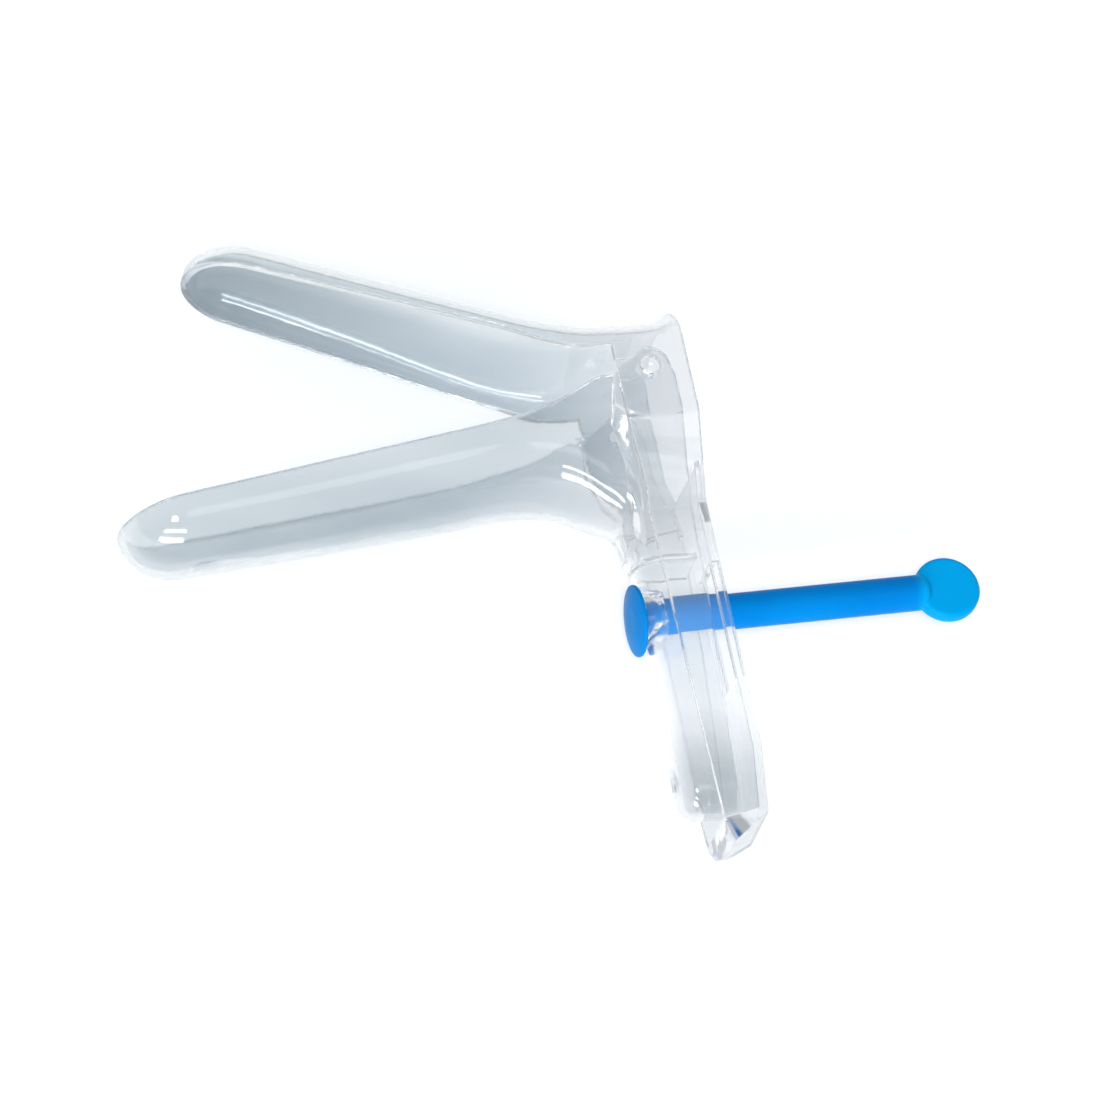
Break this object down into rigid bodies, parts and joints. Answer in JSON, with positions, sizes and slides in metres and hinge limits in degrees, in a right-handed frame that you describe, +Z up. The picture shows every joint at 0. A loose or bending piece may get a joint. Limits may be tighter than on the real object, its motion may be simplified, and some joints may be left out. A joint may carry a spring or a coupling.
{
  "type": "bivalve speculum",
  "caption": "Clear moulded bivalve speculum lying on its side, two hinged trough blades, nested handle and thumb lever, and a turning locking bar with a round paddle.",
  "frame": {"origin": "on the hinge axis, at the outer face of the ear that the instrument rests on", "axes": "+X to the rear, from the blades to the viewing side and the paddle; +Y from the handle to the crown of the collar; +Z up, along the hinge axis"},
  "size_m": [0.1857, 0.1312, 0.0356],
  "materials": {
    "clear_plastic": "clear, polished",
    "blue_plastic": "slightly translucent, satin"
  },
  "bodies": {
    "lower": {"lower_blade": "clear_plastic"},
    "upper": {"upper_blade": "clear_plastic"},
    "bar": {"locking_bar": "blue_plastic", "retaining_disc": "blue_plastic"}
  },
  "joints": [
    {"name": "blade_hinge", "type": "hinge", "parent": "lower", "child": "upper", "pos_m": [0, 0, 0.0178], "axis": [0, 0, 1], "range_deg": [-1.5, 31.5]},
    {"name": "bar_turn", "type": "hinge", "parent": "lower", "child": "bar", "pos_m": [0, -0.0524, 0.0178], "axis": [0.9767, 0.2147, 0], "range_deg": [0, 90]}
  ]
}
